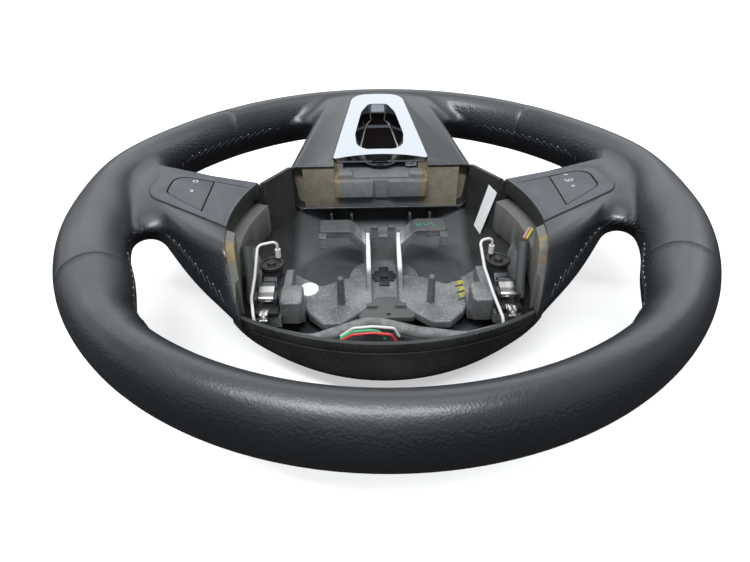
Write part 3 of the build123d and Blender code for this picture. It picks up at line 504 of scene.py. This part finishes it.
# Sealing felts: four black strips pressed between the back cover's lip and the spokes.
# They close the slits beside the flaps and under the bottom spoke's corners.
felts = ("flap_felt", (82.4, -36.4, 66.5), (5, 3, 17)), ("corner_felt", (64.5, -67.5, 38.5), (9, 5, 11))
felt_edge = 0.6 * mm
black_felt, tree, shader = new_material("black_felt", (0.012, 0.012, 0.012), 0.9)
uneven(tree, shader, 900, 0.8, 0.95)
for name, spot, size in felts:
    bm = bmesh.new()
    for turn in (1, -1):
        place = Matrix.Translation(Vector((turn * spot[0], spot[1], spot[2])) * mm)
        bmesh.ops.create_cube(bm, size=1, matrix=place @ Matrix.Diagonal((*(Vector(size) * mm), 1)))
    edges = bm.edges[:]
    bmesh.ops.bevel(bm, geom=edges, offset=felt_edge, affect="EDGES", segments=2, profile=0.5, material=-1)
    dress(piece(name, bm), "wheel", black_felt).data.shade_smooth()

# Bright insert on the bottom spoke and its clip: plated plastic pushed into the recess.
# The plate is bright chrome; the floor of its pocket's hollow carries a painted dark reflection and is
# rougher, with a painted grey reflection across the ledge; the clip is clear.
spoke_rise = 0.165
plate_level = rim_plane + 1 * mm - 70 * mm * spoke_rise
hollow_depth = plate_level - 5 * mm, plate_level - 3.5 * mm
ledge_run = (-135 * mm, -134 * mm), (-131 * mm, -130 * mm)
bright_plate = (0.391, 0.405, 0.428)
painted_dark_reflection = (0.008, 0.006, 0.005)
painted_ledge_reflection = (0.12, 0.13, 0.145)
clip_edge = 0.2 * mm
chrome, tree, shader = new_material("bright_chrome", bright_plate, 0.06, 1.0)
slope = math_node(tree, "MULTIPLY", coordinate(tree, "Y"), spoke_rise)
sunk = math_node(tree, "ADD", coordinate(tree, "Z"), slope)
hollow = span(tree, sunk, 1, 0, *hollow_depth)
flat = span(tree, math_node(tree, "ABSOLUTE", facing(tree, "X")), 1, 0, 0.3, 0.6)
# Painted reflection: the pocket's floor is coloured dark, with a grey band at the ledge, and made rougher.
painted_reflection_share = math_node(tree, "MULTIPLY", hollow, flat)
painted_pocket_reflection = mix(tree, band(tree, coordinate(tree, "Y"), *ledge_run), painted_dark_reflection, painted_ledge_reflection)
coloured(tree, shader, mix(tree, painted_reflection_share, bright_plate, painted_pocket_reflection))
polish = span(tree, noise(tree, 40), 0.04, 0.1)
polish = math_node(tree, "ADD", polish, math_node(tree, "MULTIPLY", painted_reflection_share, 0.85))
tree.links.new(polish, shader.inputs["Roughness"])
dress(nodes["chrome_trim"], "wheel", chrome)
clear_plastic, tree, shader = new_material("clear_clip", (0.75, 0.77, 0.78), 0.15)
shader.inputs["Transmission Weight"].default_value = 0.7
uneven(tree, shader, 400, 0.1, 0.3)
dress(worn_copy("trim_clip", "clear_hook", clip_edge), "wheel", clear_plastic)

# Switch groups: bezel, blank plate and rocker key on each side spoke.
# Soft-touch painted mouldings in the leather's tone with a very fine texture; the sides that face
# the bay are darkened with painted shade.
switch_edge = 0.4 * mm
paint_tones = [(0.3, (0.043, 0.047, 0.054)), (0.7, (0.054, 0.058, 0.065))]
bay_shade_tone = (0.02, 0.021, 0.02)
trim_plastic, tree, shader = new_material("soft_touch", (0.05, 0.053, 0.06), 0.48)
painted = ramp(tree, noise(tree, 30, 4), paint_tones)
# Painted shade: the faces turned towards the hub bay are coloured darker.
bay_facing_shade = math_node(tree, "MULTIPLY", coordinate(tree, "X"), facing(tree, "X"))
coloured(tree, shader, mix(tree, span(tree, bay_facing_shade, 1, 0, -0.07, -0.04), painted, bay_shade_tone))
uneven(tree, shader, 90, 0.42, 0.55)
bump(tree, shader, noise(tree, 3000, 2), 0.04 * mm)
for side in ("right", "left"):
    for kind in ("bezel", "blank"):
        moulding = worn_copy(f"{kind}_{side}", f"{kind}_{side}_moulding", switch_edge)
        dress(moulding, "wheel", trim_plastic)
    key = worn_copy("rocker_" + side, f"rocker_{side}_key", switch_edge)
    dress(key, "rocker_" + side, trim_plastic)

# Control marks: printed in pale grey on the rocker keys, upright for the driver.
# The right key has two letters, the left key a minus, a small dial and a plus.
key_rise = (9.5 - 2.4) * mm
key_run = 58.2 * mm
key_slope = math.atan(key_rise / key_run)
key_spot = Vector((112 * mm, 0, rim_plane + 5.33 * mm))
key_top = 0.62 * mm
mark_height = 0.03 * mm
dial_corners = 24
dial_inner, dial_open, needle_long, needle_wide = 0.78, 0.5, 0.5, 0.1
needle_turn = math.radians(40)
print_white, tree, shader = new_material("printed_marks", (0.5, 0.52, 0.54), 0.5)
patchy(tree, shader, 900, 2, [(0.35, (0.36, 0.38, 0.4)), (0.6, (0.6, 0.62, 0.64))])


def printed(name, side, mesh, u, v):
    """Set a flat mark on a key's top and let it ride with the key."""
    turn = 1 if side == "right" else -1
    tilt = Matrix.Rotation(-turn * key_slope, 4, "Y")
    origin = Matrix.Translation((turn * key_spot.x, key_spot.y, key_spot.z))
    mesh.transform(origin @ tilt @ Matrix.Translation((u * mm, v * mm, key_top)))
    made = bpy.data.objects.new(name, mesh)
    scene.collection.objects.link(made)
    body = made.modifiers.new("Print", "SOLIDIFY")
    body.thickness = mark_height
    dress(made, "rocker_" + side, print_white)


def letter(text, size):
    """Flat mesh of one generic letter or sign, centred."""
    curve = bpy.data.curves.new("letter", "FONT")
    curve.body = text
    curve.size = size
    curve.align_x = "CENTER"
    curve.align_y = "CENTER"
    shown = bpy.data.objects.new("letter", curve)
    scene.collection.objects.link(shown)
    bpy.context.view_layer.update()
    mesh = bpy.data.meshes.new_from_object(shown.evaluated_get(bpy.context.evaluated_depsgraph_get()))
    bpy.data.objects.remove(shown)
    mesh.materials.clear()
    return mesh


def dial(radius):
    """Open ring with a needle, both in shares of the ring's radius."""
    bm = bmesh.new()
    for edge in (radius, dial_inner * radius):
        bmesh.ops.create_circle(bm, segments=dial_corners, radius=edge)
    bmesh.ops.bridge_loops(bm, edges=bm.edges)
    ring = bm.verts[:] + bm.edges[:] + bm.faces[:]
    foot = (0, -dial_open * radius, 0)
    bmesh.ops.bisect_plane(bm, geom=ring, plane_co=foot, plane_no=(0, -1, 0), clear_outer=True)
    needle = Matrix.Diagonal((needle_long * radius, needle_wide * radius, 1, 1))
    needle = Matrix.Rotation(needle_turn, 4, "Z") @ needle
    bmesh.ops.create_grid(bm, x_segments=1, y_segments=1, size=1, matrix=needle)
    mesh = bpy.data.meshes.new("dial")
    bm.to_mesh(mesh)
    bm.free()
    return mesh


printed("mark_o", "right", letter("O", 4.7 * mm), 8.5, -27.4)
printed("mark_r", "right", letter("R", 4.1 * mm), 8, -14.2)
printed("mark_minus", "left", letter("-", 9 * mm), -7.4, -27.6)
printed("mark_dial", "left", dial(2.5 * mm), -7.3, -20.9)
printed("mark_plus", "left", letter("+", 5.2 * mm), -7.3, -12.4)

# Horn contacts: black carriers screwed to the casting, sprung leaves and crimped terminals.
# The leaves and terminals are plated strip, bright and slightly yellow, with a dark band and a
# half-dark band across the leaves.
carrier_edge = 0.3 * mm
strip_edge = 0.1 * mm
leaf_ends = 36 * mm, 52 * mm
plated = (0.5, 0.49, 0.46)
leaf_dark = (0.085, 0.088, 0.09)
leaf_half_dark = (0.2, 0.2, 0.185)
leaf_bands = [(0, plated), (0.02, leaf_dark), (0.4, leaf_dark), (0.46, plated), (0.68, plated), (0.74, leaf_half_dark),
              (0.9, leaf_half_dark), (0.95, plated)]
spring_metal, tree, shader = new_material("plated_strip", plated, 0.34, 1.0)
uneven(tree, shader, 60, 0.3, 0.38, 2)
coloured(tree, shader, ramp(tree, span(tree, coordinate(tree, "Y"), 0, 1, *leaf_ends), leaf_bands))
for side in ("right", "left"):
    for kind in ("horn_holder", "horn_cap"):
        moulding = worn_copy(f"{kind}_{side}", f"{kind}_{side}_moulding", carrier_edge)
        dress(moulding, "wheel", black_plastic)
    for kind, body in (("horn_leaf", "horn_leaf_" + side), ("horn_terminal", "wheel")):
        strip = worn_copy(f"{kind}_{side}", f"{kind}_{side}_strip", strip_edge)
        dress(strip, body, spring_metal)

# Cable guide: satin grey moulding over the near end of the hub plate.
# It carries the loom's sleeve on a saddle.
guide_edge = 0.3 * mm
grey_plastic, tree, shader = new_material("grey_guide", (0.055, 0.057, 0.055), 0.5)
uneven(tree, shader, 80, 0.42, 0.6)
bump(tree, shader, noise(tree, 2200), 0.05 * mm)
dress(worn_copy("cable_guide", "guide_moulding", guide_edge), "wheel", grey_plastic)

# Wiring loom: taped sleeves and single wires with coloured insulation.
# The loom's tape is matt and dusty, the leads' sleeves beside the spokes are darker,
# and the insulation is smooth.
lead_side = 70 * mm, 76 * mm
tape_tones = [(0.35, (0.09, 0.095, 0.095)), (0.65, (0.17, 0.175, 0.17))]
lead_tone = (0.05, 0.053, 0.053)
wires = {
    "white_lead": ((0.55, 0.54, 0.52), ("horn_wire_right", "horn_wire_left", "white_wire")),
    "red_lead": ((0.5, 0.03, 0.03), ("red_wire",)),
    "green_lead": ((0.03, 0.3, 0.12), ("green_wire",)),
    "pink_lead": ((0.42, 0.19, 0.2), ("pink_wire",)),
    "yellow_lead": ((0.4, 0.33, 0.035), ("yellow_wire",)),
}
sleeve, tree, shader = new_material("taped_sleeve", (0.13, 0.135, 0.135), 0.7)
tape = ramp(tree, noise(tree, 220, 4), tape_tones)
coloured(tree, shader, mix(tree, span(tree, sideways(tree), 0, 1, *lead_side), tape, lead_tone))
bump(tree, shader, noise(tree, 1800), 0.12 * mm)
for node in ("harness_sleeve", "switch_lead_right", "switch_lead_left"):
    dress(nodes[node], "wheel", sleeve)
for slot, (colour, members) in wires.items():
    insulation, tree, shader = new_material(slot + "_insulation", colour, 0.4)
    uneven(tree, shader, 300, 0.3, 0.5)
    for node in members:
        dress(nodes[node], "wheel", insulation)

# Studio: a pale floor under a plain white surround, a soft strip light on the camera's side,
# one broad light from the far side, one overhead and weak side lights.
# Floor and surround are seen white, and light the wheel only a little.
floor_half = 4
floor_glow = 0.5
floor_mirrored, sky_mirrored = 0.02, 0.05
sky_light, sky_seen = 0.34, 1.05
cool_white = (0.93, 0.97, 1.0)


def seen_share(tree, mirrored):
    """1 for what the camera sees, also through clear plastic, and a small share for what mirrors see."""
    path = tree.nodes.new("ShaderNodeLightPath")
    seen = math_node(tree, "MAXIMUM", path.outputs["Is Camera Ray"], path.outputs["Is Transmission Ray"])
    in_mirrors = math_node(tree, "MULTIPLY", path.outputs["Is Glossy Ray"], mirrored)
    return math_node(tree, "MAXIMUM", seen, in_mirrors)


floor_mesh = bmesh.new()
bmesh.ops.create_grid(floor_mesh, x_segments=1, y_segments=1, size=floor_half)
bmesh.ops.translate(floor_mesh, verts=floor_mesh.verts, vec=(0, 0, cad_low.z))
floor = piece("floor", floor_mesh)
pale_floor, tree, shader = new_material("pale_floor", (0.6, 0.6, 0.6), 0.9)
shader.inputs["Emission Color"].default_value = (1, 1, 1, 1)
shader.inputs["Emission Strength"].default_value = floor_glow
shader.inputs["Specular IOR Level"].default_value = 0
dull = tree.nodes.new("ShaderNodeBsdfDiffuse")
dull.inputs["Color"].default_value = (0.015, 0.015, 0.015, 1)
both = tree.nodes.new("ShaderNodeMixShader")
tree.links.new(seen_share(tree, floor_mirrored), both.inputs["Fac"])
tree.links.new(dull.outputs["BSDF"], both.inputs[1])
tree.links.new(shader.outputs["BSDF"], both.inputs[2])
tree.links.new(both.outputs["Shader"], tree.nodes["Material Output"].inputs["Surface"])
floor.data.materials.append(pale_floor)


def lamp(name, place, size, power):
    """Soft light turned towards the wheel's middle."""
    light = bpy.data.lights.new(name, "AREA")
    light.shape = "RECTANGLE"
    light.size, light.size_y = size
    light.energy = power
    light.color = cool_white
    made = bpy.data.objects.new(name, light)
    made.location = place
    made.rotation_euler = (Vector((0, 0, rim_plane)) - Vector(place)).to_track_quat("-Z", "Y").to_euler()
    scene.collection.objects.link(made)


lamp("near_light", (0.25, 0.85, 1.45), (1.3, 0.18), 34)
lamp("far_light", (0, -1.5, 1.3), (2.6, 1.2), 17.5)
lamp("top_light", (0, -0.1, 1.75), (1.5, 0.9), 9)
lamp("right_light", (1.5, -0.85, 1.15), (1.1, 0.9), 6)
lamp("left_light", (-1.5, -0.85, 1.15), (1.1, 0.9), 7.5)
lamp("low_light", (1.6, -0.4, 0.3), (1.4, 0.5), 1.3)
world = bpy.data.worlds.new("studio")
scene.world = world
world.use_nodes = True
tree = world.node_tree
sky = tree.nodes["Background"]
sky.inputs["Color"].default_value = (0.95, 0.97, 1.0, 1)
tree.links.new(span(tree, seen_share(tree, sky_mirrored), sky_light, sky_seen, 0, 1), sky.inputs["Strength"])
scene.view_settings.view_transform = "Standard"

# Camera: a close, wide view from beyond 12 o'clock, looking down at about 36 degrees.
# It stands almost on the wheel's middle plane, turned and rolled a little.
focal_length = 27.49
sensor_width = 36
nearest = 10 * mm
camera_place = Vector((12.57, 311.68, 245.41)) * mm
camera_turn = math.radians(1.2)
camera_tilt = math.radians(35.782)
camera_roll = math.radians(-0.42)
level_back = Vector((math.sin(camera_turn), math.cos(camera_turn), 0))
back = math.cos(camera_tilt) * level_back + Vector((0, 0, math.sin(camera_tilt)))
right = Vector((-math.cos(camera_turn), math.sin(camera_turn), 0))
up = back.cross(right)
lens = bpy.data.cameras.new("camera")
lens.lens = focal_length
lens.sensor_width = sensor_width
lens.clip_start = nearest
camera = bpy.data.objects.new("camera", lens)
axes = Matrix((right, up, back)).transposed() @ Matrix.Rotation(camera_roll, 3, "Z")
camera.matrix_world = Matrix.Translation(camera_place) @ axes.to_4x4()
scene.collection.objects.link(camera)
scene.camera = camera

bpy.context.view_layer.update()
